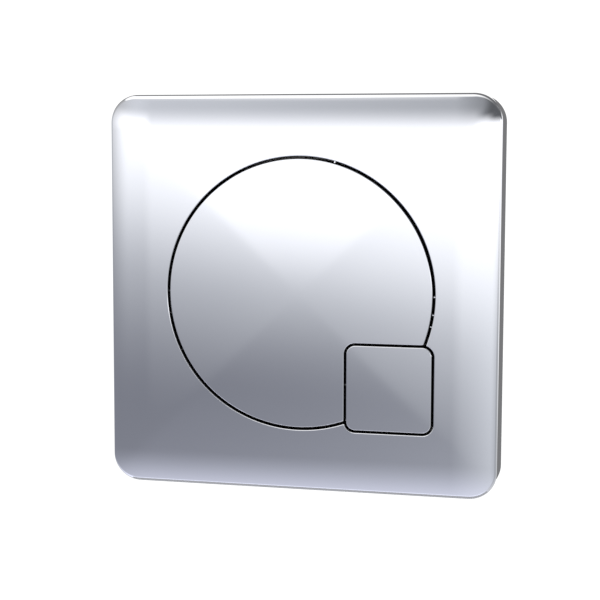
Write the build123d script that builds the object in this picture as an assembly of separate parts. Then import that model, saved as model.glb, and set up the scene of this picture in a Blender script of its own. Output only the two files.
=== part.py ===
from build123d import *

import math
import os
from dataclasses import dataclass

# Dual flush button plate for a concealed cistern, worked by air.
# Everything is drawn lying on its back, with z the height out of the wall, x to the right and y up.
# stand_up() at the end turns each piece so that the plate hangs on the wall plane y = 0 and faces -Y.
# All sizes are in millimetres.

# Face plate
plate_side = 150.0
corner_radius = 10.5
side_depth = 15.0            # wall plane to the start of the rounded front edge
crown_height = 18.8          # wall plane to the middle of the face
crown_radius = 2400.0        # the two crossed crowns of the face
edge_radius = 2.0            # tight rounding between side wall and border
border_radius = 44.0         # soft border that runs from the rounding into the crown
border_slope = 12.5          # degrees, where the tight rounding meets the soft border
inner_slope = 2.6            # degrees, where the soft border runs out over the crown
plate_wall = 2.2
ceiling_height = 15.5        # underside of the front skin
collar_wall = 1.5            # lip round the button opening, behind the front skin
collar_height = 12.5         # back edge of that lip

# Buttons
gap = 1.2                    # between the two buttons and round both of them
disc_radius = 50.55          # full flush button
key_side = 31.8              # half flush button
key_corner = 3.4
button_wall = 1.8
button_ceiling = 16.3
button_rib = 1.2             # stiffening ribs behind the buttons' skin
rib_back = 14.2
skirt_height = 9.0           # back edge of the buttons' skirts
travel = 5.5                 # how far a button goes in

# Mounting frame
frame_gap = 0.4              # between the frame's edge and the face plate's wall
base_thickness = 2.5
rim_height = 7.0
rim_wall = 1.6
front_rib_height = 3.2       # clears the buttons' skirts when they are full in
screw_spacing = 118.0        # wall screws, on a square
screw_slot_length = 9.0
screw_slot_radius = 2.5
slot_boss_height = 4.0
snap_width = 12.0
snap_offset = 34.0           # snap arms stand this far each side of the middle of a side
snap_reach = 1.3
snap_height = 10.0
seat_width = 7.0             # flat band on the frame's back that lies on the wall
pocket_depth = 1.0           # the back is cored out between its ribs
rib_width = 2.4
well_lip = 3.0

# Carriers under the buttons
carrier_top = 13.5
carrier_thickness = 2.5
pin_clearance = 0.1          # the square guide pins in their sleeves
sleeve_back = -6.0
stop_gap = 0.1

# Air pumps
well_floor = -9.0            # front of the well's floor
floor_thickness = 2.0
flange_thickness = 1.6
crown_thickness = 1.6        # of the bellows, under the carrier
coil_sides = 16              # the springs' turns are drawn with this many straight lengths
fold_sides = 24              # and the bellows' folds with this many flats
tail_radius = 2.25
tail_end = -24.0
tail_bore = 1.3
tail_shank = 3.0
tail_flange = 3.8
nut_across_flats = 10.0
nut_thickness = 3.0

# Fasteners
carrier_screw = (4.4, 1.6, 0.95)     # across flats, head height and shank radius
stop_screw = (4.4, 1.8, 0.95)
small_sides = 8              # shanks and their holes are drawn with this many flats
pilot_clearance = 0.05
washer_thickness = 1.0

# The half flush button's outer sides are in line with the disc's right and lower extents
disc_opening = disc_radius + gap
key_offset = disc_radius - key_side / 2
carrier_underside = carrier_top - carrier_thickness
sleeve_front = carrier_underside - travel - stop_gap     # the carrier stops here when a button is full in


@dataclass
class Pump:
    """One button's air pump, with the guide pins and screws of the carrier that works it."""

    name: str
    centre: tuple
    well_radius: float
    well_wall: float
    bellows_radius: float
    bellows_depth: float     # how deep the folds go
    folds: int
    spring_radius: float
    spring_wire: float
    spring_turns: float
    pin_side: float
    sleeve_wall: float
    pins: list               # guide pins, from the pump's centre
    screws: list             # carrier screws, from the pump's centre


def around(radius, angles):
    """Points on a circle, at angles in degrees."""
    return [(radius * math.cos(math.radians(a)), radius * math.sin(math.radians(a))) for a in angles]


full_flush = Pump(
    name="full_flush",
    centre=(0.0, 0.0),
    well_radius=23.5,
    well_wall=2.0,
    bellows_radius=17.0,
    bellows_depth=3.6,
    folds=2,
    spring_radius=20.2,
    spring_wire=1.4,
    spring_turns=3,
    pin_side=5.0,
    sleeve_wall=2.0,
    pins=around(38.2, (45, 135, 225)),
    screws=around(29.0, (45, 135, 225)),
)
half_flush = Pump(
    name="half_flush",
    centre=(key_offset, -key_offset),
    well_radius=10.0,
    well_wall=1.2,
    bellows_radius=7.3,
    bellows_depth=2.2,
    folds=2,
    spring_radius=8.75,
    spring_wire=0.9,
    spring_turns=3,
    pin_side=3.4,
    sleeve_wall=0.9,
    pins=around(15.3, (45, 225)),
    screws=around(14.2, (135, 315)),
)
pumps = (full_flush, half_flush)


def place(pump):
    return Pos(pump.centre[0], pump.centre[1], 0)


def slab(outline, low, high):
    """An outline on the wall plane, thickened between two heights."""
    return Pos(0, 0, low) * extrude(outline, high - low)


def rod(radius, low, high):
    return slab(Circle(radius), low, high)


def post(side, low, high):
    return slab(Rectangle(side, side), low, high)


def many_sided(radius, sides, low, high, outside=True):
    """A small round drawn with flats: its corners lie on the radius, or its flats do where it is a hole."""
    return slab(RegularPolygon(radius, sides, major_radius=outside), low, high)


def small_hole(radius, low, high):
    return many_sided(radius, small_sides, low, high, outside=False)


def rounded_square(side, radius):
    return RectangleRounded(side, side, radius)


def cross(length, width):
    return Rectangle(length, width) + Rectangle(width, length)


# Outlines of the buttons and of the opening that holds both

def key_outline(grow):
    """The half flush button's outline, grown by an amount all round."""
    return Pos(key_offset, -key_offset) * rounded_square(key_side + 2 * grow, key_corner + grow)


def opening_outline(grow=0.0):
    return Circle(disc_opening + grow) + key_outline(gap + grow)


def disc_outline(shrink=0.0):
    return Circle(disc_radius - shrink) - key_outline(gap + shrink)


# The crowned face

def crowned_block():
    """Two crowned bars crossed. What they share has four shallow facets that meet on the diagonals."""
    half = plate_side / 2 + 5
    edge = crown_height - crown_radius + math.sqrt(crown_radius**2 - half**2)
    outline = Polyline((half, edge), (half, -1), (-half, -1), (-half, edge))
    outline += ThreePointArc((-half, edge), (0, crown_height), (half, edge))
    bar = extrude(Plane.XZ * make_face(outline), half, both=True)
    return bar & (Rot(0, 0, 90) * bar)


def border_cutter():
    """What is cut away outside the soft border, carried round the plate's outline."""
    steep, shallow = math.radians(border_slope), math.radians(inner_slope)
    outside, above = 5.0, crown_height + 10
    inside = corner_radius - 0.1
    centre = (-edge_radius, side_depth)
    wall = (0.0, side_depth)
    middle = (centre[0] + edge_radius * math.sin(steep), centre[1] + edge_radius * math.cos(steep))
    deep = (middle[0] - border_radius * math.sin(steep), middle[1] - border_radius * math.cos(steep))
    crest = (deep[0] + border_radius * math.sin(shallow), deep[1] + border_radius * math.cos(shallow))
    over = (-inside, crest[1] + (inside + crest[0]) * math.tan(shallow))
    section = Polyline(over, (-inside, above), (outside, above), (outside, side_depth), wall)
    section += RadiusArc(wall, middle, -edge_radius)
    section += RadiusArc(middle, crest, -border_radius)
    section += Line(crest, over)
    half, straight = plate_side / 2, plate_side - 2 * corner_radius
    side = Pos(half, 0, 0) * extrude(Plane.XZ * make_face(section), straight / 2, both=True)
    corner_section = Plane.XZ * (Pos(corner_radius, 0) * make_face(section))
    corner = Pos(half - corner_radius, half - corner_radius, 0) * revolve(corner_section, Axis.Z, 90)
    quarter = side + corner
    return Part() + [Rot(0, 0, turn) * quarter for turn in (0, 90, 180, 270)]


def face_plate(crown):
    outer = slab(rounded_square(plate_side, corner_radius), 0, crown_height + 1) & crown
    outer -= border_cutter()
    inner_side = plate_side - 2 * plate_wall
    cavity = slab(rounded_square(inner_side, corner_radius - plate_wall), 0, ceiling_height)
    plate = outer - cavity
    plate += slab(opening_outline(collar_wall), collar_height, ceiling_height)
    plate += snap_catches(inner_side / 2)
    plate -= slab(opening_outline(), 0, crown_height + 1)
    return plate


def snap_catches(wall):
    """Ribs inside the side walls that the frame's snap arms hook behind."""
    reach, low, high = 1.2, 6.4, 7.6
    rib = Pos(wall - reach / 2, 0, (low + high) / 2) * Box(reach, snap_width + 4, high - low)
    return [Rot(0, 0, turn) * Pos(0, along, 0) * rib
            for turn in (0, 90, 180, 270) for along in (-snap_offset, snap_offset)]


# Buttons

def boss(centre_xy):
    """A square screw boss on the underside of a button, with its blind pilot hole."""
    boss_side, pilot_top = 5.6, 16.9
    at = Pos(centre_xy[0], centre_xy[1], 0)
    pilot = small_hole(pilot_radius(carrier_screw), 0, pilot_top)
    return at * post(boss_side, carrier_top, button_ceiling), at * pilot


def pilot_radius(screw):
    return screw[2] + pilot_clearance


def button(crown, pump, outer, inner):
    """A thin cap with a skirt: its front follows the crown, and screw bosses stand behind it."""
    cap = slab(outer, skirt_height, crown_height + 1) & crown
    cap -= slab(inner, 0, button_ceiling)
    ribs = Pos(pump.centre[0], pump.centre[1]) * cross(2 * disc_radius, button_rib)
    cap += slab(inner & ribs, rib_back, button_ceiling)
    for x, y in pump.screws:
        stud, pilot = boss((pump.centre[0] + x, pump.centre[1] + y))
        cap += stud
        cap -= pilot
    return cap


def full_flush_button(crown):
    return button(crown, full_flush, disc_outline(), disc_outline(button_wall))


def half_flush_button(crown):
    return button(crown, half_flush, key_outline(0), key_outline(-button_wall))


# Carriers

def full_flush_carrier():
    """A spider: an eight-sided plate over the pump, with three arms that end in guide pins."""
    hub, arm, tip = full_flush.spring_radius + 2.0, 11.0, 5.5
    outline = Rot(0, 0, 22.5) * RegularPolygon(hub, 8, major_radius=False)
    for x, y in full_flush.pins:
        reach = math.hypot(x, y) + tip
        outline += Rot(0, 0, math.degrees(math.atan2(y, x))) * Pos(reach / 2, 0) * Rectangle(reach, arm)
    return carrier(full_flush, outline)


def half_flush_carrier():
    """A small square plate with two guide pins on one diagonal."""
    side = key_side - 2 * button_wall - 1.8
    return carrier(half_flush, Rectangle(side, side))


def carrier(pump, outline):
    screw_hole, pilot_depth = 1.4, 6.0
    pin_end = sleeve_back - stop_gap
    plate = slab(outline, carrier_underside, carrier_top)
    for x, y in pump.screws:
        plate -= Pos(x, y, 0) * small_hole(screw_hole, 0, carrier_top + 1)
    for x, y in pump.pins:
        pin = post(pump.pin_side, pin_end, carrier_underside)
        pin -= small_hole(pilot_radius(stop_screw), pin_end, pin_end + pilot_depth)
        plate += Pos(x, y, 0) * pin
    return place(pump) * plate


# Mounting frame

def snap_arm(edge):
    """A springy arm on the frame's edge, with a barb that hooks in front of a catch."""
    arm, lead = 1.6, 0.3
    outer = edge - 1.2
    barb_low, barb_high = snap_height - 2.2, snap_height
    profile = Polyline(
        (outer - arm, 0), (outer, 0), (outer, barb_low), (outer + snap_reach, barb_low),
        (outer + lead, barb_high), (outer - arm, barb_high), close=True)
    return extrude(Plane.XZ * make_face(profile), snap_width / 2, both=True)


def mounting_frame():
    edge = plate_side / 2 - plate_wall - frame_gap
    corner = corner_radius - plate_wall - frame_gap
    rim_inset = 3.4
    frame = slab(rounded_square(2 * edge, corner), 0, base_thickness)
    rim_side = 2 * (edge - rim_inset)
    rim = rounded_square(rim_side, corner - rim_inset)
    rim -= rounded_square(rim_side - 2 * rim_wall, corner - rim_inset - rim_wall)
    frame += slab(rim, 0, rim_height)
    for turn in (0, 90, 180, 270):
        for along in (-snap_offset, snap_offset):
            frame += Rot(0, 0, turn) * Pos(0, along, 0) * snap_arm(edge)
    frame += slab(cross(rim_side, rim_wall), 0, front_rib_height)
    frame -= slab(back_pockets(edge), 0, pocket_depth)
    for pump in pumps:
        frame += place(pump) * well(pump)
    for pump in pumps:
        frame -= place(pump) * well_hollow(pump)
    for at in screw_places():
        frame += at * slab(screw_land(), 0, slot_boss_height)
        frame -= at * slab(SlotOverall(screw_slot_length, 2 * screw_slot_radius), -1, slot_boss_height + 1)
    return frame


def screw_places():
    half = screw_spacing / 2
    return [Pos(x, y, 0) for x in (-half, half) for y in (-half, half)]


def screw_land():
    return Rectangle(screw_slot_length + 5, 2 * screw_slot_radius + 6)


def back_pockets(edge):
    """Shallow pockets that core out the frame's back, with a flat seat and ribs left between them."""
    land = 3.0
    field = Rectangle(2 * (edge - seat_width), 2 * (edge - seat_width))
    for turn in (0, 45):
        field -= Rot(0, 0, turn) * cross(2 * plate_side, rib_width)
    for pump in pumps:
        at = Pos(pump.centre[0], pump.centre[1])
        keep_out = pump.well_radius + pump.well_wall + land
        field -= at * Rot(0, 0, 22.5) * RegularPolygon(keep_out, 8, major_radius=False)
        for x, y in pump.pins:
            side = sleeve_side(pump) + 2 * land
            field -= at * Pos(x, y) * Rectangle(side, side)
    for at in screw_places():
        field -= at * screw_land()
    return field


def sleeve_side(pump):
    return pump.pin_side + 2 * (pin_clearance + pump.sleeve_wall)


def well(pump):
    """The cup that holds a pump, and the sleeves that guide the carrier's pins."""
    cup = rod(pump.well_radius + pump.well_wall, well_floor - floor_thickness, well_lip)
    for x, y in pump.pins:
        cup += Pos(x, y, 0) * post(sleeve_side(pump), sleeve_back, sleeve_front)
    return cup


def well_hollow(pump):
    hollow = rod(pump.well_radius, well_floor, crown_height)
    hollow += rod(tail_shank + pilot_clearance, well_floor - floor_thickness - 1, well_floor)
    for x, y in pump.pins:
        bore = pump.pin_side + 2 * pin_clearance
        hollow += Pos(x, y, 0) * post(bore, sleeve_back - 1, sleeve_front + 1)
    return hollow


# Air pumps

def bellows(pump):
    """A folded rubber cup: a flange on the well's floor, folds, and a flat crown under the carrier."""
    crown_gap, wall = 0.05, 1.1
    top, flange_top = carrier_underside - crown_gap, well_floor + flange_thickness
    outer, inner = pump.bellows_radius, pump.bellows_radius - pump.bellows_depth
    half_fold = (top - flange_top) / pump.folds / 2
    lean = math.degrees(math.atan(pump.bellows_depth * math.cos(math.pi / fold_sides) / half_fold))
    half = extrude(RegularPolygon(outer, fold_sides), half_fold, taper=lean)
    fold = half + mirror(half, about=Plane.XY)
    cup = Part() + [Pos(0, 0, flange_top + (2 * i + 1) * half_fold) * fold for i in range(pump.folds)]
    cup += many_sided(pump.well_radius - 0.3, fold_sides, well_floor, flange_top)
    cup -= many_sided(inner - wall, fold_sides, well_floor, top - crown_thickness)
    return place(pump) * cup


def return_spring(pump):
    """A coil spring of square wire. It stands on the bellows' flange and lifts the carrier."""
    end_gap = 0.25
    wire = pump.spring_wire
    low = well_floor + flange_thickness + end_gap + wire / 2
    high = carrier_underside - end_gap - wire / 2
    lengths = pump.spring_turns * coil_sides
    corners = []
    for i in range(lengths + 1):
        angle = 2 * math.pi * i / coil_sides
        height = low + (high - low) * i / lengths
        corners.append((pump.spring_radius * math.cos(angle), pump.spring_radius * math.sin(angle), height))
    coil = Polyline(corners)
    start = Plane(origin=coil @ 0, x_dir=(1, 0, 0), z_dir=coil % 0)
    return place(pump) * sweep(start * Rectangle(wire, wire), path=coil, transition=Transition.RIGHT)


def hose_tail(pump):
    """The spigot that an air hose pushes on to, with a flange inside the well."""
    flange_top = well_floor + flange_thickness
    thread_end = well_floor - floor_thickness - nut_thickness - 1.0
    tail = many_sided(tail_flange, 6, well_floor, flange_top)
    tail += rod(tail_shank, thread_end, well_floor)
    tail += rod(tail_radius, tail_end, thread_end)
    tail -= rod(tail_bore, tail_end - 1, flange_top + 1)
    return place(pump) * tail


def tail_nut(pump):
    back = well_floor - floor_thickness
    hexagon = RegularPolygon(nut_across_flats / 2, 6, major_radius=False)
    return place(pump) * slab(hexagon - Circle(tail_shank + pilot_clearance), back - nut_thickness, back)


# Fasteners

def hex_screw(size, length):
    """A hexagon head screw that points up, with the underside of its head at z = 0."""
    across_flats, head_height, shank_radius = size
    head = slab(RegularPolygon(across_flats / 2, 6, major_radius=False), -head_height, 0)
    return head + many_sided(shank_radius, small_sides, 0, length)


def carrier_screws(pump):
    """Screws that hold a button on its carrier."""
    screw = hex_screw(carrier_screw, carrier_thickness + 3.0)
    return place(pump) * Part([Pos(x, y, carrier_underside) * screw for x, y in pump.screws])


def stop_washers(pump):
    """Square washers on the guide pins' ends, which stop the button at rest."""
    back = sleeve_back - stop_gap
    side = sleeve_side(pump)
    washer = post(side, back - washer_thickness, back)
    washer -= small_hole(pilot_radius(stop_screw), back - washer_thickness, back)
    return place(pump) * Part([Pos(x, y, 0) * washer for x, y in pump.pins])


def stop_screws(pump):
    back = sleeve_back - stop_gap - washer_thickness
    screw = hex_screw(stop_screw, 6.0)
    return place(pump) * Part([Pos(x, y, back) * screw for x, y in pump.pins])


def stand_up(piece):
    """Turns a piece from lying on its back to hanging on the wall plane, facing -Y."""
    return Plane.XZ * piece


def all_pieces():
    crown = crowned_block()
    pieces = {
        "face_plate": face_plate(crown),
        "full_flush_button": full_flush_button(crown),
        "half_flush_button": half_flush_button(crown),
        "full_flush_carrier": full_flush_carrier(),
        "half_flush_carrier": half_flush_carrier(),
        "mounting_frame": mounting_frame(),
    }
    makers = (bellows, return_spring, hose_tail, tail_nut, carrier_screws, stop_washers, stop_screws)
    for pump in pumps:
        for maker in makers:
            pieces[f"{pump.name}_{maker.__name__}"] = maker(pump)
    return pieces


def main():
    os.makedirs("parts", exist_ok=True)
    for name, piece in all_pieces().items():
        export_step(stand_up(piece), f"parts/{name}.step")


main()
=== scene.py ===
import math

import bpy
import numpy as np
from mathutils import Matrix, Vector


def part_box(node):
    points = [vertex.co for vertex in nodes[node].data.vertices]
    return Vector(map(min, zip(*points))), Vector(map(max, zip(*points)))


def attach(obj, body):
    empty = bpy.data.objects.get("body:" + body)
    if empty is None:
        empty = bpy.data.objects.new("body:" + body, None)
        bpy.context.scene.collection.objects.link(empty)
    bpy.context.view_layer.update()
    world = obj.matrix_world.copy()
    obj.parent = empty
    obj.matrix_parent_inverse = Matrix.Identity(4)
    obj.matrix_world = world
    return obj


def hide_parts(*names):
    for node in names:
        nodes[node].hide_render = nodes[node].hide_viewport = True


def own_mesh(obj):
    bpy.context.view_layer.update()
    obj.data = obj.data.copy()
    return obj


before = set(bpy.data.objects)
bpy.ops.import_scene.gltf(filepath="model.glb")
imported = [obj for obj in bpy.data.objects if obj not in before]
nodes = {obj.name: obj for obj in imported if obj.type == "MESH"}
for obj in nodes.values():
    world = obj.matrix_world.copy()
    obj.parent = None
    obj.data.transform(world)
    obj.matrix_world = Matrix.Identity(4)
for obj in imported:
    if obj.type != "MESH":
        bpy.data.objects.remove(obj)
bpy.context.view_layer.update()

mm = 0.001
print("frame loaded:", len(nodes), "nodes")


# sizes are in mm: x to the right, y up the wall, h the height out of the wall

def nodeBox(name):
    low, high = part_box(name)
    return {"left": low.x / mm, "right": high.x / mm, "bottom": low.z / mm, "top": high.z / mm,
            "front": -low.y / mm, "back": -high.y / mm}


plateBox, discBox, keyBox = (nodeBox(n) for n in ("face_plate", "full_flush_button", "half_flush_button"))
keyMiddle = ((keyBox["left"] + keyBox["right"]) / 2, (keyBox["bottom"] + keyBox["top"]) / 2)

plate = {
    "side": plateBox["right"] - plateBox["left"],
    "cornerRadius": 10.5,
    "crownHeight": discBox["front"],
    "crownRadius": 2400.0,           # of the two crossed crowns
    "sideLean": 0.97,                # the left and right facets lean a little less
    "crease": (2.0, 0.02),           # softness of the diagonals in the middle, and how it grows outward
    "borderWidth": (17.0, 13.0),     # soft border at the sides, and at top and bottom
    "borderRadius": (103.0, 83.0),
    "edgeSlope": 9.8,                # degrees, where the border meets the tight rounding
    "edgeRadius": (1.0, 2.0),        # tight rounding at the sides, and at top and bottom
    "cornerSwell": 0.1,              # normals at the side wall's foot lean forward by this at the corners
    "wall": 2.2,
    "ceiling": 15.5,
    "collarWall": 1.5,
    "collarBack": 12.5,
    "rings": (14, 12, 11),           # across the face, the soft border and the tight rounding
}
button = {
    "gap": 1.05,
    "keyGap": 0.92,
    "lip": 0.3,                      # rounded edge each side of the gaps
    "lipRings": 6,
    "tip": 0.5,                      # softness of the sharp tips where disc and key meet
    "discGrow": 0.1,                 # against the solid's radius
    "discMiddle": (-0.06, 0.28),     # the round button sits a hair above the middle
    "keyGrow": 0.3,                  # against the solid's side
    "keyShift": (-0.15, 0.15),
    "keyCorner": 3.4,
    "wall": 1.8,
    "ceiling": 16.3,
    "rings": 35,                     # from the lip to the middle
}
skirtBack = discBox["back"]
discRadius = -discBox["left"] + button["discGrow"]
disc = button["discMiddle"]
keySide = keyBox["right"] - keyBox["left"] + button["keyGrow"]
key = (keyMiddle[0] + button["keyShift"][0], keyMiddle[1] + button["keyShift"][1])
keyFromDisc = (key[0] - disc[0], key[1] - disc[1])


# mesh helpers

def toWorld(points):
    x, y, h = np.asarray(points, float).reshape(-1, 3).T
    return np.column_stack((x, -h, y)) * mm


def ring(x, y, h):
    x, y, h = np.broadcast_arrays(np.asarray(x, float), y, h)
    return np.column_stack((x, y, h))


def polar(angles, radius, midX=0.0, midY=0.0):
    return np.column_stack((midX + radius * np.cos(angles), midY + radius * np.sin(angles)))


def around(middle, angles, radius, h):
    return ring(*polar(angles, radius, *middle).T, h)


def unit(v):
    return v / np.maximum(np.linalg.norm(v, axis=-1, keepdims=True), 1e-12)


class Shell:
    # a mesh put together from strips of rings, with its own normals

    def __init__(self):
        self.points, self.normals, self.faces, self.paintedShadeFaces = [], [], [], []
        self.count = 0

    def add(self, points, normals):
        start = self.count
        self.points.append(np.asarray(points, float).reshape(-1, 3))
        self.normals.append(np.broadcast_to(np.asarray(normals, float), self.points[-1].shape))
        self.count += len(self.points[-1])
        return start

    # rings are joined in order; faces look out where rings run anticlockwise and go outward on the front
    def strip(self, rings, normals, flip=False, bare=False):
        firstFace = len(self.faces)
        starts = [self.add(r, k) for r, k in zip(rings, normals)]
        i = np.arange(len(rings[0]))
        j = np.roll(i, -1)
        for a, b in zip(starts, starts[1:]):
            quads = np.column_stack((a + i, b + i, b + j, a + j))
            self.faces.extend((quads[:, ::-1] if flip else quads).tolist())
        # faces flagged here get the near-black painted shade of the gap walls
        if bare:
            self.paintedShadeFaces.extend(range(firstFace, len(self.faces)))

    # flat or straight bands from ring to ring, square to them
    def bands(self, rings, closed=False, flip=False):
        following = rings[1:] + rings[:1] if closed else rings[1:]
        for first, second in zip(rings, following):
            along = np.roll(first, -1, 0) - np.roll(first, 1, 0)
            normal = unit(np.cross(second - first, along)) * (-1 if flip else 1)
            self.strip([first, second], [normal, normal], flip)

    def cap(self, rim, centre, normal, flip=False):
        start = self.add(rim, normal)
        middle = self.add([centre], normal)
        i = np.arange(len(rim))
        tris = np.column_stack((np.full(len(rim), middle), start + i, start + np.roll(i, -1)))
        self.faces.extend((tris[:, ::-1] if flip else tris).tolist())

    # a box turned by an angle, from its middle, half sizes and heights
    def block(self, x, y, halfX, halfY, low, high, turn=0.0):
        c, s = math.cos(turn), math.sin(turn)
        flat = [(-halfX, -halfY), (halfX, -halfY), (halfX, halfY), (-halfX, halfY)]
        rim = [(x + u * c - v * s, y + u * s + v * c) for u, v in flat]
        for p, q in zip(rim, rim[1:] + rim[:1]):
            out = unit(np.array([q[1] - p[1], p[0] - q[0], 0.0]))
            a = self.add([(*p, low), (*q, low), (*q, high), (*p, high)], out)
            self.faces.append([a, a + 1, a + 2, a + 3])
        for h, way in ((low, -1), (high, 1)):
            a = self.add([(u, v, h) for u, v in rim[::way]], (0, 0, way))
            self.faces.append([a, a + 1, a + 2, a + 3])

    def build(self, name, material, body, slot, *replaced):
        mesh = bpy.data.meshes.new(name)
        mesh.from_pydata(toWorld(np.concatenate(self.points)).tolist(), [], self.faces)
        mesh.polygons.foreach_set("use_smooth", np.ones(len(mesh.polygons), bool))
        x, y, h = unit(np.concatenate(self.normals)).T
        mesh.normals_split_custom_set_from_vertices(np.column_stack((x, -h, y)).tolist())
        mesh.materials.append(material)
        # the gap walls take the painted shade material in a second slot
        if self.paintedShadeFaces:
            mesh.materials.append(paintedShadeWall)
            kinds = np.zeros(len(self.faces), np.int32)
            kinds[self.paintedShadeFaces] = 1
            mesh.polygons.foreach_set("material_index", kinds)
        piece = bpy.data.objects.new(name, mesh)
        bpy.context.scene.collection.objects.link(piece)
        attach(piece, body)
        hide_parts(*replaced)
        return piece


# the crowned face

def softMax(a, b, k):
    return 0.5 * (a + b + np.sqrt((a - b) ** 2 + k * k))


def faceHeight(x, y):
    across, up = np.abs(x), np.abs(y)
    softness = plate["crease"][0] + plate["crease"][1] * (across + up)
    fromMiddle = softMax(across * plate["sideLean"], up, softness)
    height = plate["crownHeight"] - fromMiddle ** 2 / (2 * plate["crownRadius"])
    for away, width, radius in zip((across, up), plate["borderWidth"], plate["borderRadius"]):
        border = np.clip(away - plate["side"] / 2 + width, 0, None)
        height = height - border ** 2 / (2 * radius)
    return height


def faceNormal(x, y):
    nudge = 0.02
    hx = (faceHeight(x + nudge, y) - faceHeight(x - nudge, y)) / (2 * nudge)
    hy = (faceHeight(x, y + nudge) - faceHeight(x, y - nudge)) / (2 * nudge)
    return unit(np.column_stack((-hx, -hy, np.ones_like(hx))))


# outlines, as the reach of rays from a middle point

farStart = 130.0     # well outside the plate
walkSteps = 400


def insideBy(x, y, half, radius, midX=0.0, midY=0.0):
    # distance inside a rounded square, negative outside
    qx, qy = np.abs(x - midX) - (half - radius), np.abs(y - midY) - (half - radius)
    beyond = np.hypot(np.maximum(qx, 0), np.maximum(qy, 0)) + np.minimum(np.maximum(qx, qy), 0)
    return radius - beyond


def reach(angles, start, way, half, radius, midX=0.0, midY=0.0):
    # walks along each ray up to a rounded square: outward to its near side, or inward to its far side
    found = np.full_like(angles, start)
    for _ in range(walkSteps):
        outside = -insideBy(found * np.cos(angles), found * np.sin(angles), half, radius, midX, midY)
        found = np.clip(found + way * np.maximum(outside, 0), -farStart, farStart)
    return found


def rays(busy, step=0.5, closest=0.015):
    # even steps in degrees, closer together round the busy directions
    found = [np.arange(-180.0, 180.0, step)]
    for middle, spread, fineStep in busy:
        found.append(np.arange(middle - spread, middle + spread, fineStep))
    angles = np.unique(np.round(np.concatenate(found), 3))
    return np.radians(angles[np.concatenate(([True], np.diff(angles) > closest))])


diagonals = [(a, 6.0, 0.1) for a in (-135, -45, 45, 135)]     # direction, spread to each side, step
junctions = [(-20.3, 1.6, 0.04), (-69.9, 1.6, 0.04)]          # where the key's corners meet the disc's edge
frontRays = rays(diagonals + junctions)
keyRays = rays(diagonals)


def keyGrown(grow):
    return keySide / 2 + grow, button["keyCorner"] + grow


# openingAt, discAt and keyAt give the outline that lies so far inside the material

def openingAt(depth):
    far = reach(frontRays, farStart, -1, *keyGrown(button["keyGap"] + depth), *keyFromDisc)
    return polar(frontRays, softMax(discRadius + button["gap"] + depth, far, button["tip"]), *disc)


def discAt(depth):
    near = reach(frontRays, 0.0, 1, *keyGrown(button["keyGap"] + depth), *keyFromDisc)
    return polar(frontRays, -softMax(depth - discRadius, -near, button["tip"]), *disc)


def keyAt(depth):
    return polar(keyRays, reach(keyRays, farStart, -1, *keyGrown(-depth)), *key)


def plateInset(inset):
    corner = np.maximum(plate["cornerRadius"] - inset, 0.0)
    return polar(frontRays, reach(frontRays, farStart, -1, plate["side"] / 2 - inset, corner))


def sideWay(flat):
    # straight out of the plate's nearest side
    x, y = flat.T
    nudge = 0.01
    square = (plate["side"] / 2, plate["cornerRadius"])
    gx = insideBy(x - nudge, y, *square) - insideBy(x + nudge, y, *square)
    gy = insideBy(x, y - nudge, *square) - insideBy(x, y + nudge, *square)
    return unit(np.column_stack((gx, gy)))


def outward(outline):
    along = np.roll(outline, -1, 0) - np.roll(outline, 1, 0)
    return unit(np.column_stack((along[:, 1], -along[:, 0])))


def lipRings(outlineAt, way, wallFoot):
    # from the foot of the gap's wall up over the lip on to the face
    lip = button["lip"]

    def gapWay(outline):
        return np.column_stack((way * outward(outline), np.zeros(len(outline))))

    edge = outlineAt(0.0)
    rings, normals = [ring(*edge.T, wallFoot)], [gapWay(edge)]
    for a in np.linspace(math.pi / 2, 0, button["lipRings"]):
        outline = outlineAt(lip * (1 - math.sin(a)))
        x, y = outline.T
        rings.append(ring(x, y, faceHeight(x, y) - lip * (1 - math.cos(a))))
        normals.append(unit(math.cos(a) * faceNormal(x, y) + math.sin(a) * gapWay(outline)))
    return rings, normals


def addFaceRing(rings, normals, flat):
    x, y = flat.T
    rings.append(ring(x, y, faceHeight(x, y)))
    normals.append(faceNormal(x, y))


# materials

def addNode(tree, kind, inputs=None, **settings):
    made = tree.nodes.new(kind)
    for name, value in settings.items():
        setattr(made, name, value)
    for name, value in (inputs or {}).items():
        if isinstance(value, bpy.types.NodeSocket):
            tree.links.new(value, made.inputs[name])
        else:
            made.inputs[name].default_value = value
    return made


def mixColors(tree, factor, a, b):
    a, b = ((*color, 1) if isinstance(color, tuple) else color for color in (a, b))
    made = addNode(tree, "ShaderNodeMix", {"Factor": factor, "A": a, "B": b}, data_type="RGBA")
    return made.outputs["Result"]


def newGroup(name, inputs, outputs):
    group = bpy.data.node_groups.new(name, "ShaderNodeTree")
    for label, kind, value in inputs:
        group.interface.new_socket(label, in_out="INPUT", socket_type=kind).default_value = value
    for label, kind in outputs:
        group.interface.new_socket(label, in_out="OUTPUT", socket_type=kind)
    return group, group.nodes.new("NodeGroupInput"), group.nodes.new("NodeGroupOutput")


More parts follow.
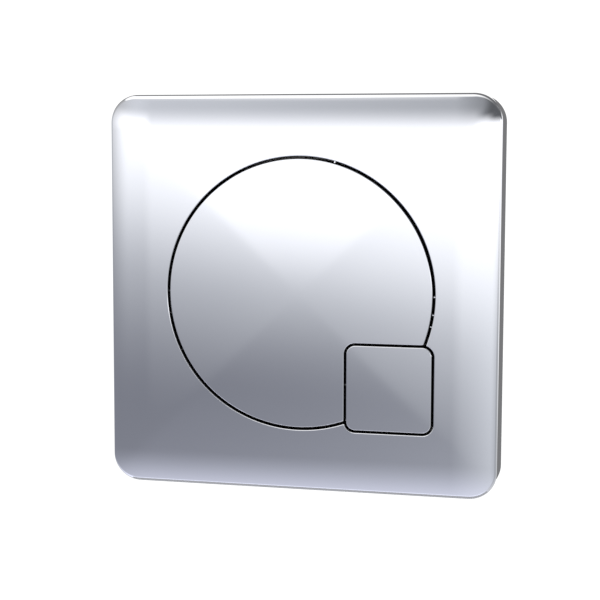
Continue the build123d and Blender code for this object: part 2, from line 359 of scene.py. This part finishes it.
def makeMottleGroup():
    # soft variation of colour and gloss, and a fine grain
    group, given, out = newGroup(
        "mottle",
        [("Light", "NodeSocketColor", (1, 1, 1, 1)), ("Dark", "NodeSocketColor", (0, 0, 0, 1)),
         ("Patch Size", "NodeSocketFloat", 60.0), ("Grain Size", "NodeSocketFloat", 2500.0),
         ("Gloss Low", "NodeSocketFloat", 0.3), ("Gloss High", "NodeSocketFloat", 0.5)],
        [("Color", "NodeSocketColor"), ("Roughness", "NodeSocketFloat"), ("Grain", "NodeSocketFloat")])
    place = addNode(group, "ShaderNodeTexCoord").outputs["Object"]
    patches = addNode(group, "ShaderNodeTexNoise", {
        "Vector": place, "Scale": given.outputs["Patch Size"], "Detail": 3.0, "Roughness": 0.6})
    grain = addNode(group, "ShaderNodeTexNoise", {
        "Vector": place, "Scale": given.outputs["Grain Size"], "Detail": 2.0})
    mixed = mixColors(group, patches.outputs["Fac"], given.outputs["Dark"], given.outputs["Light"])
    gloss = addNode(group, "ShaderNodeMapRange", {
        "Value": patches.outputs["Fac"], "From Min": 0.3, "From Max": 0.7,
        "To Min": given.outputs["Gloss Low"], "To Max": given.outputs["Gloss High"]})
    group.links.new(mixed, out.inputs["Color"])
    group.links.new(gloss.outputs["Result"], out.inputs["Roughness"])
    group.links.new(grain.outputs["Fac"], out.inputs["Grain"])
    return group


mottle = makeMottleGroup()
bumpDepth = 0.1     # mm


def finish(name, look, **sockets):
    made = bpy.data.materials.new(name)
    made.use_nodes = True
    tree = made.node_tree
    shader = tree.nodes["Principled BSDF"]
    glossLow, glossHigh = look["rough"]
    surface = addNode(tree, "ShaderNodeGroup", {
        "Light": (*look["light"], 1), "Dark": (*look["dark"], 1), "Patch Size": look["patches"],
        "Grain Size": look["grain"], "Gloss Low": glossLow, "Gloss High": glossHigh}, node_tree=mottle)
    tree.links.new(surface.outputs["Color"], shader.inputs["Base Color"])
    tree.links.new(surface.outputs["Roughness"], shader.inputs["Roughness"])
    if look["bump"]:
        bump = addNode(tree, "ShaderNodeBump", {
            "Strength": look["bump"], "Distance": bumpDepth * mm, "Height": surface.outputs["Grain"]})
        tree.links.new(bump.outputs["Normal"], shader.inputs["Normal"])
    for socket, value in sockets.items():
        shader.inputs[socket].default_value = value
    return made


chromeLook = {"light": (0.86, 0.865, 0.88), "dark": (0.83, 0.835, 0.855),
              "patches": 25.0, "grain": 900.0, "rough": (0.035, 0.055), "bump": 0.0}
# painted shade: a near-black finish for the walls inside the gaps, standing in for the shade there
paintedShadeWallLook = {"light": (0.010, 0.010, 0.012), "dark": (0.005, 0.005, 0.006),
                "patches": 60.0, "grain": 1500.0, "rough": (0.45, 0.6), "bump": 0.0}
whiteAbsLook = {"light": (0.84, 0.84, 0.82), "dark": (0.78, 0.78, 0.765),
                "patches": 70.0, "grain": 3200.0, "rough": (0.36, 0.48), "bump": 0.25}
greyAcetalLook = {"light": (0.56, 0.57, 0.59), "dark": (0.50, 0.51, 0.53),
                  "patches": 90.0, "grain": 2600.0, "rough": (0.28, 0.38), "bump": 0.15}
whiteAcetalLook = {"light": (0.83, 0.83, 0.80), "dark": (0.76, 0.76, 0.735),
                   "patches": 140.0, "grain": 2600.0, "rough": (0.25, 0.36), "bump": 0.12}
rubberLook = {"light": (0.045, 0.045, 0.046), "dark": (0.022, 0.022, 0.023),
              "patches": 120.0, "grain": 1800.0, "rough": (0.55, 0.75), "bump": 0.35}
springLook = {"light": (0.58, 0.58, 0.59), "dark": (0.42, 0.42, 0.44),
              "patches": 300.0, "grain": 1500.0, "rough": (0.22, 0.36), "bump": 0.2}
zincLook = {"light": (0.74, 0.74, 0.72), "dark": (0.60, 0.61, 0.62),
            "patches": 260.0, "grain": 1500.0, "rough": (0.24, 0.4), "bump": 0.2}

chrome = finish("polishedChrome", chromeLook, Metallic=1.0)
paintedShadeWall = finish("paintedShadeInGap", paintedShadeWallLook, IOR=1.45)     # painted shade: the gap walls are made near-black to stand in for the shade in the gaps
whiteAbs = finish("whiteMoulding", whiteAbsLook, IOR=1.53)
greyAcetal = finish("greyAcetal", greyAcetalLook, IOR=1.48)
whiteAcetal = finish("whiteAcetal", whiteAcetalLook, IOR=1.48)
rubber = finish("blackRubber", rubberLook, IOR=1.52)
springSteel = finish("springSteel", springLook, Metallic=1.0)
zincSteel = finish("zincPlatedSteel", zincLook, Metallic=1.0)
print("materials made")


# face plate

def plateFront(shell):
    rings, normals = lipRings(openingAt, -1, plate["collarBack"])
    faceRings, borderRings, edgeRings = plate["rings"]
    inner, outer = rings[-1][:, :2], plateInset(plate["cornerRadius"])
    for w in np.linspace(0, 1, faceRings + 1)[1:]:
        addFaceRing(rings, normals, (1 - w) * inner + w * outer)

    # the soft border, down to where the tight rounding takes over
    slope = math.radians(plate["edgeSlope"])
    edge = sideWay(plateInset(0.0)) ** 2 @ np.array(plate["edgeRadius"])
    turnIn = edge * (1 - math.sin(slope))
    for inset in np.linspace(plate["cornerRadius"], turnIn, borderRings + 1)[1:]:
        addFaceRing(rings, normals, plateInset(inset))
    axisHeight = faceHeight(*plateInset(turnIn).T) - edge * math.cos(slope)
    for a in np.linspace(slope, math.pi / 2, edgeRings + 1)[1:]:
        flat = plateInset(edge * (1 - math.sin(a)))
        way = sideWay(flat)
        rings.append(ring(*flat.T, axisHeight + edge * math.cos(a)))
        normals.append(np.column_stack((math.sin(a) * way, np.full(len(way), math.cos(a)))))

    # the side wall's foot
    rings.append(ring(*plateInset(0.0).T, 0.0))
    swell = plate["cornerSwell"] * np.abs(2 * way[:, 0] * way[:, 1])
    normals.append(np.column_stack((way, swell)))
    # the gap's wall round the opening is painted near-black as shade
    shell.strip(rings[:2], normals[:2], bare=True)
    shell.strip(rings[1:], normals[1:])


def plateBack(shell):
    # rim, inner wall, ceiling and the collar round the opening
    side, hollow = plateInset(0.0), plateInset(plate["wall"])
    opening, collar = openingAt(0.0), openingAt(plate["collarWall"])
    path = [(side, 0.0), (hollow, 0.0), (hollow, plate["ceiling"]), (collar, plate["ceiling"]),
            (collar, plate["collarBack"]), (opening, plate["collarBack"])]
    shell.bands([ring(*outline.T, h) for outline, h in path])


catch = {"along": 34.0, "length": 16.0, "reach": 1.2, "low": 6.4, "high": 7.6}


def addCatches(shell):
    out = plate["side"] / 2 - plate["wall"] - catch["reach"] / 2
    for turn in np.radians((0, 90, 180, 270)):
        for along in (-catch["along"], catch["along"]):
            x = out * math.cos(turn) - along * math.sin(turn)
            y = out * math.sin(turn) + along * math.cos(turn)
            shell.block(x, y, catch["reach"] / 2, catch["length"] / 2, catch["low"], catch["high"], turn)


collarPip = {"at": (75, 0, -7.5, -12.5, 180, -170.5, -154), "width": 0.4, "front": 16.5, "free": 0.25}


def addCollarPips(shell):
    # small pips on the collar keep the round button in the middle of its opening
    deep = (button["gap"] - collarPip["free"]) / 2
    out = discRadius + button["gap"] - deep
    for a in np.radians(collarPip["at"]):
        shell.block(disc[0] + out * math.cos(a), disc[1] + out * math.sin(a), deep, collarPip["width"] / 2,
                    plate["collarBack"], collarPip["front"], a)


def makeFacePlate():
    shell = Shell()
    plateFront(shell)
    plateBack(shell)
    addCatches(shell)
    addCollarPips(shell)
    shell.build("facePlateShell", chrome, "plate", "chrome", "face_plate")


# buttons

inside = {"bossSide": 5.6, "bossBack": 13.5, "rib": 1.2, "ribBack": 14.2,
          "discScrews": 29.0, "keyScrews": 14.2}                     # radius of the screws' ring
keyPip = {"y": -33.6, "halfX": 0.3, "halfY": 0.2, "front": 16.4}     # on the disc, beside the key


def makeButton(name, node, body, outlineAt, middle, blocks):
    shell = Shell()
    rings, normals = lipRings(outlineAt, 1, skirtBack)
    inner, centre = rings[-1][:, :2], np.array(middle)
    for w in np.linspace(1, 0, button["rings"] + 1)[1:-1]:
        addFaceRing(rings, normals, w * inner + (1 - w) * centre)
    # the skirt's wall in the gap is painted near-black as shade
    shell.strip(rings[:2], normals[:2], flip=True, bare=True)
    shell.strip(rings[1:], normals[1:], flip=True)
    shell.cap(rings[-1], (*middle, float(faceHeight(*middle))), normals[-1].mean(0))
    outline, hollow = outlineAt(0.0), outlineAt(button["wall"])
    ceilingRim = ring(*hollow.T, button["ceiling"])
    shell.bands([ring(*outline.T, skirtBack), ring(*hollow.T, skirtBack), ceilingRim])
    shell.cap(ceilingRim, (*middle, button["ceiling"]), (0, 0, -1), flip=True)
    for block in blocks:
        shell.block(*block)
    shell.build(name, chrome, body, "chrome", node)


def boss(x, y):
    half = inside["bossSide"] / 2
    return x, y, half, half, inside["bossBack"], button["ceiling"]


def rib(x, y, halfX, halfY):
    return x, y, halfX, halfY, inside["ribBack"], button["ceiling"]


def makeButtons():
    thin = inside["rib"] / 2
    screw = inside["discScrews"] / math.sqrt(2)
    length = discRadius - button["wall"]
    bite = key[0] - keySide / 2 - button["keyGap"]
    pip = (bite + keyPip["halfX"], keyPip["y"], keyPip["halfX"], keyPip["halfY"], skirtBack, keyPip["front"])
    makeButton("fullFlushCap", "full_flush_button", "full_flush", discAt, disc, [
        boss(screw, screw), boss(-screw, screw), boss(-screw, -screw),
        rib(0, length / 2, thin, length / 2), rib(0, -length / 2, thin, length / 2), rib(0, 0, length, thin),
        pip])

    screw = inside["keyScrews"] / math.sqrt(2)
    length = keySide / 2 - button["wall"]
    x, y = keyMiddle
    makeButton("halfFlushCap", "half_flush_button", "half_flush", keyAt, key, [
        boss(x - screw, y + screw), boss(x + screw, y - screw),
        rib(*key, length, thin), rib(*key, thin, length)])


makeFacePlate()
makeButtons()
print("face plate and buttons made")


# air pumps behind the buttons

pumps = {
    "full_flush": {"name": "fullFlush", "middle": (0.0, 0.0), "foldOut": 17.0, "foldIn": 13.4, "folds": 2,
                   "flange": 23.2, "coil": 20.2, "wire": 1.4,
                   "pinRing": 38.2, "pins": (45, 135, 225), "washer": 9.2},
    "half_flush": {"name": "halfFlush", "middle": keyMiddle, "foldOut": 7.3, "foldIn": 5.1, "folds": 2,
                   "flange": 9.7, "coil": 8.75, "wire": 0.9,
                   "pinRing": 15.3, "pins": (45, 225), "washer": 5.4},
}


def turned(profile, middle, sides=64):
    # a closed section of (radius, height) points, spun round an axis out of the wall
    shell = Shell()
    angles = np.linspace(0, 2 * math.pi, sides, endpoint=False)
    shell.bands([around(middle, angles, r, h) for r, h in profile], closed=True)
    return shell


bellows = {
    "skin": 1.1,
    "flangeDepth": 1.6,
    "footStep": 0.8,       # the foot of the folds, outside their inner radius
    "crownStep": 0.5,      # the flat end, inside their inner radius
    "crownDepth": 0.6,
    "eye": 0.4,            # small hole in the end
    "foldPower": 0.8,      # under 1 for fuller folds
    "foldSteps": 25,
}


def makeBellows(body, pump):
    box = nodeBox(body + "_bellows")
    floor, top = box["back"], box["front"]
    skin, foldIn, foldOut, eye = bellows["skin"], pump["foldIn"], pump["foldOut"], bellows["eye"]
    flangeTop = floor + bellows["flangeDepth"]
    steps = np.linspace(0, 1, bellows["foldSteps"] * pump["folds"])
    swing = 0.5 - 0.5 * np.cos(2 * math.pi * pump["folds"] * steps)
    foldRadius = foldIn + (foldOut - foldIn) * swing ** bellows["foldPower"]
    foldHeight = flangeTop + (top - flangeTop - bellows["crownDepth"]) * steps
    folds = list(zip(foldRadius, foldHeight))
    outside = [(pump["flange"], floor), (pump["flange"], flangeTop),
               (foldIn + bellows["footStep"], flangeTop), *folds,
               (foldIn - bellows["crownStep"], top), (eye, top)]
    lining = [(r - skin, h) for r, h in folds[::-1] if flangeTop < h < top - 2 * skin]
    inner = [(eye, top - skin), (foldIn - skin, top - skin), *lining, (foldIn - skin, floor)]
    piece = turned(outside + inner, pump["middle"]).build(
        pump["name"] + "Bellows", rubber, "plate", "black_rubber", body + "_bellows")
    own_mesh(piece)


spring = {
    "turns": 4.5,
    "turnSteps": 48,
    "wireSides": 12,
    "closing": 0.09,       # closer turns at both ends
    "endGap": 0.1,
    "pressedGap": 0.2,
}


def makeSpring(body, pump):
    box = nodeBox(body + "_return_spring")
    wire = pump["wire"] / 2
    low, high = box["back"] + spring["endGap"] + wire, box["front"] - spring["endGap"] - wire
    u = np.linspace(0, 1, int(spring["turns"] * spring["turnSteps"]) + 1)
    rise = u - spring["closing"] * np.sin(2 * math.pi * u)
    a = 2 * math.pi * spring["turns"] * u
    path = around(pump["middle"], a, pump["coil"], low + (high - low) * rise)
    along = unit(np.gradient(path, axis=0))
    out = ring(np.cos(a), np.sin(a), 0.0)
    over = unit(np.cross(along, out))
    b = np.linspace(0, 2 * math.pi, spring["wireSides"], endpoint=False)[None, :, None]
    ways = np.cos(b) * out[:, None] + np.sin(b) * over[:, None]
    shell = Shell()
    shell.strip(list(path[:, None] + wire * ways), list(ways), flip=True)
    shell.cap(path[0] + wire * ways[0], path[0], -along[0], flip=True)
    shell.cap(path[-1] + wire * ways[-1], path[-1], along[-1])
    piece = shell.build(
        pump["name"] + "Spring", springSteel, "plate", "spring_steel", body + "_return_spring")
    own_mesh(piece)


for body, pump in pumps.items():
    makeBellows(body, pump)
    makeSpring(body, pump)
print("bellows and springs made")


# hose tails and nuts on the back

tail = {
    "flange": 3.7,
    "flangeDepth": 1.6,
    "bore": 1.3,
    "sides": 48,
    "shank": 3.0,
    "root": 2.7,
    "pitch": 0.8,
    "ridge": (("root", 0.25), ("shank", 0.5), ("shank", 0.65), ("root", 0.9)),     # at shares of a pitch
    "threadBack": 7.6,     # the thread's end, behind the front
    "runOut": 0.3,
    "barbs": 3,
    "hose": 2.25,          # radius over the barbs
    "waist": 1.9,          # where a barb begins
    "neck": 1.95,          # where it ends
    "barbStart": 0.02,
    "barbPeak": 0.62,      # shares of a barb's length
    "barbEnd": 0.66,
    "barbClear": 0.6,      # between barbs and thread
}


def makeTail(body, pump):
    box = nodeBox(body + "_hose_tail")
    front, end = box["front"], box["back"]
    shoulder, threadEnd = front - tail["flangeDepth"], front - tail["threadBack"]
    profile = [(tail["bore"], end), (tail["waist"], end)]
    barb = (threadEnd - end - tail["barbClear"]) / tail["barbs"]
    for k in range(tail["barbs"]):
        h = end + k * barb
        profile += [(tail["waist"], h + tail["barbStart"]), (tail["hose"], h + barb * tail["barbPeak"]),
                    (tail["neck"], h + barb * tail["barbEnd"])]
    profile += [(tail["neck"], threadEnd - tail["runOut"]), (tail["root"], threadEnd)]
    for k in range(int((shoulder - threadEnd) / tail["pitch"])):
        profile += [(tail[part], threadEnd + (k + share) * tail["pitch"]) for part, share in tail["ridge"]]
    profile += [(tail["root"], shoulder), (tail["flange"], shoulder),
                (tail["flange"], front), (tail["bore"], front)]
    turned(profile[::-1], pump["middle"], tail["sides"]).build(
        pump["name"] + "Tail", whiteAcetal, "plate", "white_acetal", body + "_hose_tail")


headRays = np.radians(np.arange(0, 360, 2.5))
headChamfer = 30.0     # degrees


def hexagonHead(flat, faceShare):
    # reach of its six sides, radius of its round face, and how far the chamfer falls
    sixth = math.pi / 3
    sides = flat / np.cos((headRays + sixth / 2) % sixth - sixth / 2)
    face = faceShare * flat
    return sides, face, (sides - face) * math.tan(math.radians(headChamfer))


nut = {"face": 0.97, "clearance": 0.05, "leadIn": 0.35}


def makeNut(body, pump):
    box = nodeBox(body + "_tail_nut")
    front, back = box["front"], box["back"]
    sides, face, chamfer = hexagonHead((box["top"] - box["bottom"]) / 2, nut["face"])
    hole, leadIn = tail["shank"] + nut["clearance"], nut["leadIn"]
    path = [(hole, back + leadIn), (hole + leadIn, back), (face, back), (sides, back + chamfer),
            (sides, front - chamfer), (face, front), (hole, front)]
    shell = Shell()
    shell.bands([around(pump["middle"], headRays, r, h) for r, h in path], closed=True, flip=True)
    shell.build(pump["name"] + "TailNut", whiteAcetal, "plate", "white_acetal", body + "_tail_nut")


# stops on the guide pins: a square washer and a hexagon head screw on the end of each

stop = {"corner": 0.7, "edge": 0.22, "hole": 1.05, "shank": 0.95, "flat": 2.2, "dish": 0.3,
        "face": 0.96, "dishRim": 0.62, "dishFloor": 0.5}     # these three are shares of flat


def makeStops(body, pump):
    washerBox, screwBox = nodeBox(body + "_stop_washers"), nodeBox(body + "_stop_screws")
    front, back = washerBox["front"], washerBox["back"]
    tip, end = screwBox["front"], screwBox["back"]
    hole, shank, edge, flat = stop["hole"], stop["shank"], stop["edge"], stop["flat"]

    def square(shrink):
        return reach(headRays, farStart, -1, pump["washer"] / 2 - shrink, stop["corner"] - shrink)

    washerPath = [(hole, front), (square(edge), front), (square(0.0), front - edge),
                  (square(0.0), back + edge), (square(edge), back), (hole, back)]
    sides, face, chamfer = hexagonHead(flat, stop["face"])
    dishEnd = end + stop["dish"]
    screwPath = [(shank, tip), (shank, back), (face, back), (sides, back - chamfer), (sides, end + chamfer),
                 (face, end), (stop["dishRim"] * flat, end), (stop["dishFloor"] * flat, dishEnd)]
    washers, screws = Shell(), Shell()
    for place in polar(np.radians(pump["pins"]), pump["pinRing"], *pump["middle"]):
        washers.bands([around(place, headRays, r, h) for r, h in washerPath], closed=True)
        rims = [around(place, headRays, r, h) for r, h in screwPath]
        screws.bands(rims)
        screws.cap(rims[0], (*place, tip), (0, 0, 1))
        screws.cap(rims[-1], (*place, dishEnd), (0, 0, -1), flip=True)
    washers.build(pump["name"] + "StopWashers", zincSteel, body, "zinc_steel", body + "_stop_washers")
    screws.build(pump["name"] + "StopScrews", zincSteel, body, "zinc_steel", body + "_stop_screws")


for body, pump in pumps.items():
    makeTail(body, pump)
    makeNut(body, pump)
    makeStops(body, pump)
print("hose tails, nuts and stops made")


# solids that stay, each with its finish and the width of its softened edges

kept = {
    "mounting_frame": (whiteAbs, 0.3),
    "full_flush_carrier": (greyAcetal, 0.25),
    "half_flush_carrier": (greyAcetal, 0.2),
    "full_flush_carrier_screws": (zincSteel, 0.15),
    "half_flush_carrier_screws": (zincSteel, 0.15),
}
soften = {"weld": 0.04, "flatAngle": 1.0, "edgeAngle": 35.0, "segments": 2}


def dress(solid, material, width):
    solid.data.materials.clear()
    solid.data.materials.append(material)
    weld = solid.modifiers.new("weld", "WELD")
    weld.merge_threshold = soften["weld"] * mm
    flats = solid.modifiers.new("flats", "DECIMATE")
    flats.decimate_type = "DISSOLVE"
    flats.angle_limit = math.radians(soften["flatAngle"])
    bevel = solid.modifiers.new("softEdges", "BEVEL")
    bevel.width, bevel.segments = width * mm, soften["segments"]
    bevel.limit_method, bevel.angle_limit = "ANGLE", math.radians(soften["edgeAngle"])
    bevel.harden_normals = True


for name, (material, width) in kept.items():
    dress(nodes[name], material, width)
print("solids dressed")


# studio: a pale floor, a soft sweep of light all round and the camera
# in the sweep, up is degrees above level, left is from straight ahead and right is from straight behind
# a pair of angles is where a light begins to pass into the next and where it ends

frontPanel = {                           # big and soft, from the horizon up
    "color": (1.50, 1.51, 1.57),
    "lowColor": (1.17, 1.20, 1.26),      # its lower edge
    "foot": (-11.9, 2.9),                # up, from the ground to the lower edge
    "rise": (-6.6, 3.2),                 # up, from the lower edge to the full light
    "climb": 0.14,                       # the foot climbs by this for each degree to the left
    "climbs": (0.0, 26.0),               # left, where it climbs
    "levelAt": 12.0,
    "left": (33.5, 46.0),                # its left end, at the side light
    "top": (-2.5, 16.8),                 # up
    "ownTops": (                         # up, and the stretch to the left over which it comes in
        ((4.5, 15.5), (19.5, 24.0)),
        ((2.5, 12.0), (-1.0, -7.0)),
        ((3.0, 9.0), (-8.0, -13.0)),
    ),
    "endColor": (0.02, 0.02, 0.022),     # the right end falls off into this, low down
    "endLeft": (-13.0, -18.2),
    "endUp": (3.0, -8.0),
    "endMost": 0.54,
}
sideLight = {"color": (0.57, 0.585, 0.615), "lowColor": (0.525, 0.53, 0.535), "up": (-11.0, -3.0)}
ground = {"color": (0.224, 0.234, 0.275), "rightColor": (0.91, 0.945, 1.005), "left": (21.0, -45.0)}
overPanel = {                            # between panel and ceiling
    "leftColor": (0.78, 0.805, 0.865),
    "rightColor": (0.118, 0.123, 0.132),
    "sideColor": (0.51, 0.515, 0.53),
    "left": (-30.0, 41.0),
    "side": (26.0, 43.0),
    "right": (-4.5, -10.5),
}
rightLamp = {                            # light from the far right
    "color": (1.2, 1.2, 1.22),
    "lowColor": (0.62, 0.63, 0.65),
    "up": (-14.0, -4.0),
    "left": (-90.0, -112.0),
    "right": (14.0, 34.0),
}
ceiling = {
    "color": (1.3, 1.3, 1.3),
    "front": (18.6, 23.5),               # up
    "climb": 0.6,                        # the front edge climbs by this for each degree to the left
    "climbs": (28.0, 68.0),
    "levelAt": 28.0,
    "heldLeft": (16.0, 2.0),             # held off the front to the right of here, and below here
    "heldUp": (62.0, 24.0),
    "roof": (40.0, 60.0),                # up
    "back": (123.0, 111.0),              # degrees over the top, from straight behind
    "backLeans": ((-0.34, -57.0), (0.0, -30.0), (1.0, -20.0)),     # x, and the lean to the left of it
}
floorGlow = {                            # light off the near floor
    "color": (1.13, 1.16, 1.37),
    "rightColor": (0.70, 0.71, 0.76),
    "x": (0.15, 0.5),
    "up": (-8.0, -57.5),
}
backdrop = {
    "color": (1.1, 1.1, 1.1),
    "leftColor": (0.64, 0.65, 0.68),
    "lowColor": (0.62, 0.63, 0.66),
    "end": (-1.7, -0.5),                 # right, where the flag begins
    "endLean": 0.02,
    "left": (-28.0, -50.0),              # right, so to the left of straight behind
    "low": (-18.5, -28.0),               # up
    "y": (-0.25, 0.45),                  # from what is in front to what is behind
}
flag = {                                 # dark flags behind, to the right and above
    "color": (0.20, 0.20, 0.205),
    "up": (9.0, 24.0),
    "topColor": (0.15, 0.152, 0.16),
    "rightX": (-0.05, 0.75),
    "rightEndX": (0.68, 0.84),
    "rightEndLeast": 0.3,
    "rightUp": (16.0, 26.0),
    "leftX": (-0.55, -0.7),
    "leftY": (0.15, 0.4),
    "leftUp": (14.0, 20.0),
    "leftTop": (31.0, 26.0),
}

world = bpy.data.worlds.new("studioSweep")
bpy.context.scene.world = world
world.use_nodes = True
sky = world.node_tree
sky.nodes.clear()


def work(operation, *values):
    return addNode(sky, "ShaderNodeMath", dict(enumerate(values)), operation=operation).outputs[0]


def times(first, *others):
    for other in others:
        first = work("MULTIPLY", first, other)
    return first


def degrees(value):
    return times(value, 180 / math.pi)


def ease(value, edges, low=0.0, high=1.0):
    made = addNode(sky, "ShaderNodeMapRange", {
        "Value": value, "From Min": edges[0], "From Max": edges[1], "To Min": low, "To Max": high},
        interpolation_type="SMOOTHSTEP")
    return made.outputs["Result"]


def blend(factor, a, b):
    return mixColors(sky, factor, a, b)


place = addNode(sky, "ShaderNodeTexCoord").outputs["Generated"]
x, y, z = addNode(sky, "ShaderNodeSeparateXYZ", {"Vector": place}).outputs
up = degrees(work("ARCSINE", z))
left = degrees(work("ARCTAN2", times(x, -1.0), times(y, -1.0)))
right = degrees(work("ARCTAN2", x, y))
lamp = blend(ease(up, rightLamp["up"]), rightLamp["lowColor"], rightLamp["color"])


def overEdge(light):
    # up, less what the light's edge climbs to the left
    start, end = light["climbs"]
    along = work("MINIMUM", work("MAXIMUM", left, start), end)
    return work("MULTIPLY_ADD", work("SUBTRACT", along, light["levelAt"]), -light["climb"], up)


def inFront():
    light = blend(ease(left, ground["left"]), ground["color"], ground["rightColor"])
    side = blend(ease(up, sideLight["up"]), sideLight["lowColor"], sideLight["color"])
    foot = overEdge(frontPanel)
    for color, edge in (("lowColor", "foot"), ("color", "rise")):
        panel = blend(ease(left, frontPanel["left"]), frontPanel[color], side)
        light = blend(ease(foot, frontPanel[edge]), light, panel)
    end = times(ease(left, frontPanel["endLeft"], 0.0, frontPanel["endMost"]), ease(up, frontPanel["endUp"]))
    light = blend(end, light, frontPanel["endColor"])

    over = blend(ease(left, overPanel["left"]), overPanel["rightColor"], overPanel["leftColor"])
    over = blend(ease(left, overPanel["side"]), over, overPanel["sideColor"])
    over = blend(ease(left, overPanel["right"]), over, overPanel["rightColor"])
    top = ease(up, frontPanel["top"])
    for edge, where in frontPanel["ownTops"]:
        change = work("SUBTRACT", ease(up, edge), top)
        top = work("MULTIPLY_ADD", change, ease(left, where), top)
    light = blend(top, light, over)
    light = blend(ease(left, rightLamp["left"]), light, lamp)

    held = times(ease(left, ceiling["heldLeft"]), ease(up, ceiling["heldUp"]))
    shown = times(ease(overEdge(ceiling), ceiling["front"]), work("SUBTRACT", 1.0, held))
    light = blend(shown, light, ceiling["color"])
    glow = blend(ease(x, floorGlow["x"]), floorGlow["color"], floorGlow["rightColor"])
    return blend(ease(up, floorGlow["up"]), light, glow)


def behind():
    end = work("MULTIPLY_ADD", up, backdrop["endLean"], right)
    light = blend(ease(end, backdrop["end"]), backdrop["color"], flag["color"])
    light = blend(ease(right, rightLamp["right"]), light, lamp)
    light = blend(ease(right, backdrop["left"]), light, backdrop["leftColor"])
    light = blend(ease(up, flag["up"]), light, flag["color"])
    return blend(ease(up, backdrop["low"]), light, backdrop["lowColor"])


def overhead(light):
    # the ceiling's back edge runs forward to the right
    over = degrees(work("ARCTAN2", z, y))
    for start, lean in ceiling["backLeans"]:
        over = work("MULTIPLY_ADD", work("MINIMUM", work("SUBTRACT", x, start), 0.0), lean, over)
    roof = blend(ease(over, ceiling["back"]), ceiling["color"], flag["color"])
    light = blend(ease(up, ceiling["roof"]), light, roof)
    highRight = times(ease(x, flag["rightX"]), ease(x, flag["rightEndX"], 1.0, flag["rightEndLeast"]),
                      ease(up, flag["rightUp"]))
    light = blend(highRight, light, flag["topColor"])
    highLeft = times(ease(x, flag["leftX"]), ease(y, flag["leftY"]),
                     ease(up, flag["leftUp"]), ease(up, flag["leftTop"]))
    return blend(highLeft, light, flag["topColor"])


def makeSky():
    light = overhead(blend(ease(y, backdrop["y"]), inFront(), behind()))
    shine = addNode(sky, "ShaderNodeBackground", {"Color": light, "Strength": 1.0})
    addNode(sky, "ShaderNodeOutputWorld", {"Surface": shine.outputs[0]})


paleFloor = {"half": 0.42, "height": -0.65, "color": (0.80, 0.81, 0.85, 1), "rough": 0.9}     # in metres


def makeFloor():
    mesh = bpy.data.meshes.new("paleFloor")
    half, height = paleFloor["half"], paleFloor["height"]
    rim = [(-half, -half, height), (half, -half, height), (half, half, height), (-half, half, height)]
    mesh.from_pydata(rim, [], [(0, 1, 2, 3)])
    piece = bpy.data.objects.new("paleFloor", mesh)
    bpy.context.scene.collection.objects.link(piece)
    paint = bpy.data.materials.new("paleFloor")
    paint.use_nodes = True
    shader = paint.node_tree.nodes["Principled BSDF"]
    shader.inputs["Base Color"].default_value = paleFloor["color"]
    shader.inputs["Roughness"].default_value = paleFloor["rough"]
    mesh.materials.append(paint)


shot = {"azimuth": 13.466, "elevation": 5.712, "distance": 561.468, "target": (-3.833, 0.0, -3.758),
        "roll": 0.205, "lens": 86.66, "sensor": 36.0, "clip": (0.01, 20.0)}     # clip in metres


def makeCamera():
    a, e, roll = (math.radians(shot[k]) for k in ("azimuth", "elevation", "roll"))
    back = Vector((math.sin(a) * math.cos(e), -math.cos(a) * math.cos(e), math.sin(e)))
    level = (-back).cross(Vector((0, 0, 1))).normalized()
    upright = level.cross(-back)
    across = math.cos(roll) * level + math.sin(roll) * upright
    upward = math.cos(roll) * upright - math.sin(roll) * level
    data = bpy.data.cameras.new("shot")
    data.lens, data.sensor_width = shot["lens"], shot["sensor"]
    data.clip_start, data.clip_end = shot["clip"]
    camera = bpy.data.objects.new("shot", data)
    bpy.context.scene.collection.objects.link(camera)
    place = (Vector(shot["target"]) + back * shot["distance"]) * mm
    camera.matrix_world = Matrix.Translation(place) @ Matrix((across, upward, back)).transposed().to_4x4()
    bpy.context.scene.camera = camera


makeSky()
makeFloor()
makeCamera()
bpy.context.scene.view_settings.view_transform = "Standard"
print("studio and camera set")
